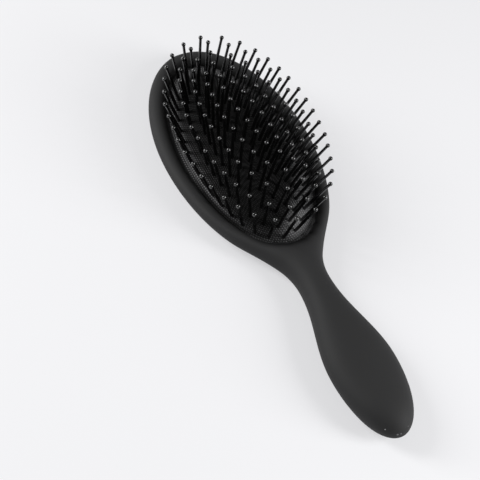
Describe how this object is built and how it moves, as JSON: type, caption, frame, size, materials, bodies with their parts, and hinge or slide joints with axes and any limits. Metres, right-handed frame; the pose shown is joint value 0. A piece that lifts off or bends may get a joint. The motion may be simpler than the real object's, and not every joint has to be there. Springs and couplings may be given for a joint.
{
  "type": "hair brush",
  "caption": "Oval cushion hair brush with a waisted handle, a domed rubber cushion and rings of ball-tipped pins.",
  "frame": {"origin": "under the middle of the brush's length and width, at the surface that its back lies on", "axes": "+X across the head to the right, +Y along the brush from the grip to the head's tip, +Z the way the pins stand"},
  "size_m": [0.0748, 0.232, 0.0414],
  "materials": {
    "body": "soft-touch matt black",
    "cushion": "matt black rubber with a fine woven grain",
    "pins": "glossy black nylon"
  },
  "bodies": {
    "root": {"body": "body", "cushion": "cushion", "outer_pins_head_right": "pins", "outer_pins_grip_right": "pins", "outer_pins_grip_left": "pins", "outer_pins_head_left": "pins", "second_pins_head_right": "pins", "second_pins_grip_right": "pins", "second_pins_grip_left": "pins", "second_pins_head_left": "pins", "third_pins_head_right": "pins", "third_pins_grip_right": "pins", "third_pins_grip_left": "pins", "third_pins_head_left": "pins", "fourth_pins_head_right": "pins", "fourth_pins_grip_right": "pins", "fourth_pins_grip_left": "pins", "fourth_pins_head_left": "pins", "inner_pins_head_right": "pins", "inner_pins_grip_right": "pins", "inner_pins_grip_left": "pins", "inner_pins_head_left": "pins"}
  },
  "joints": []
}
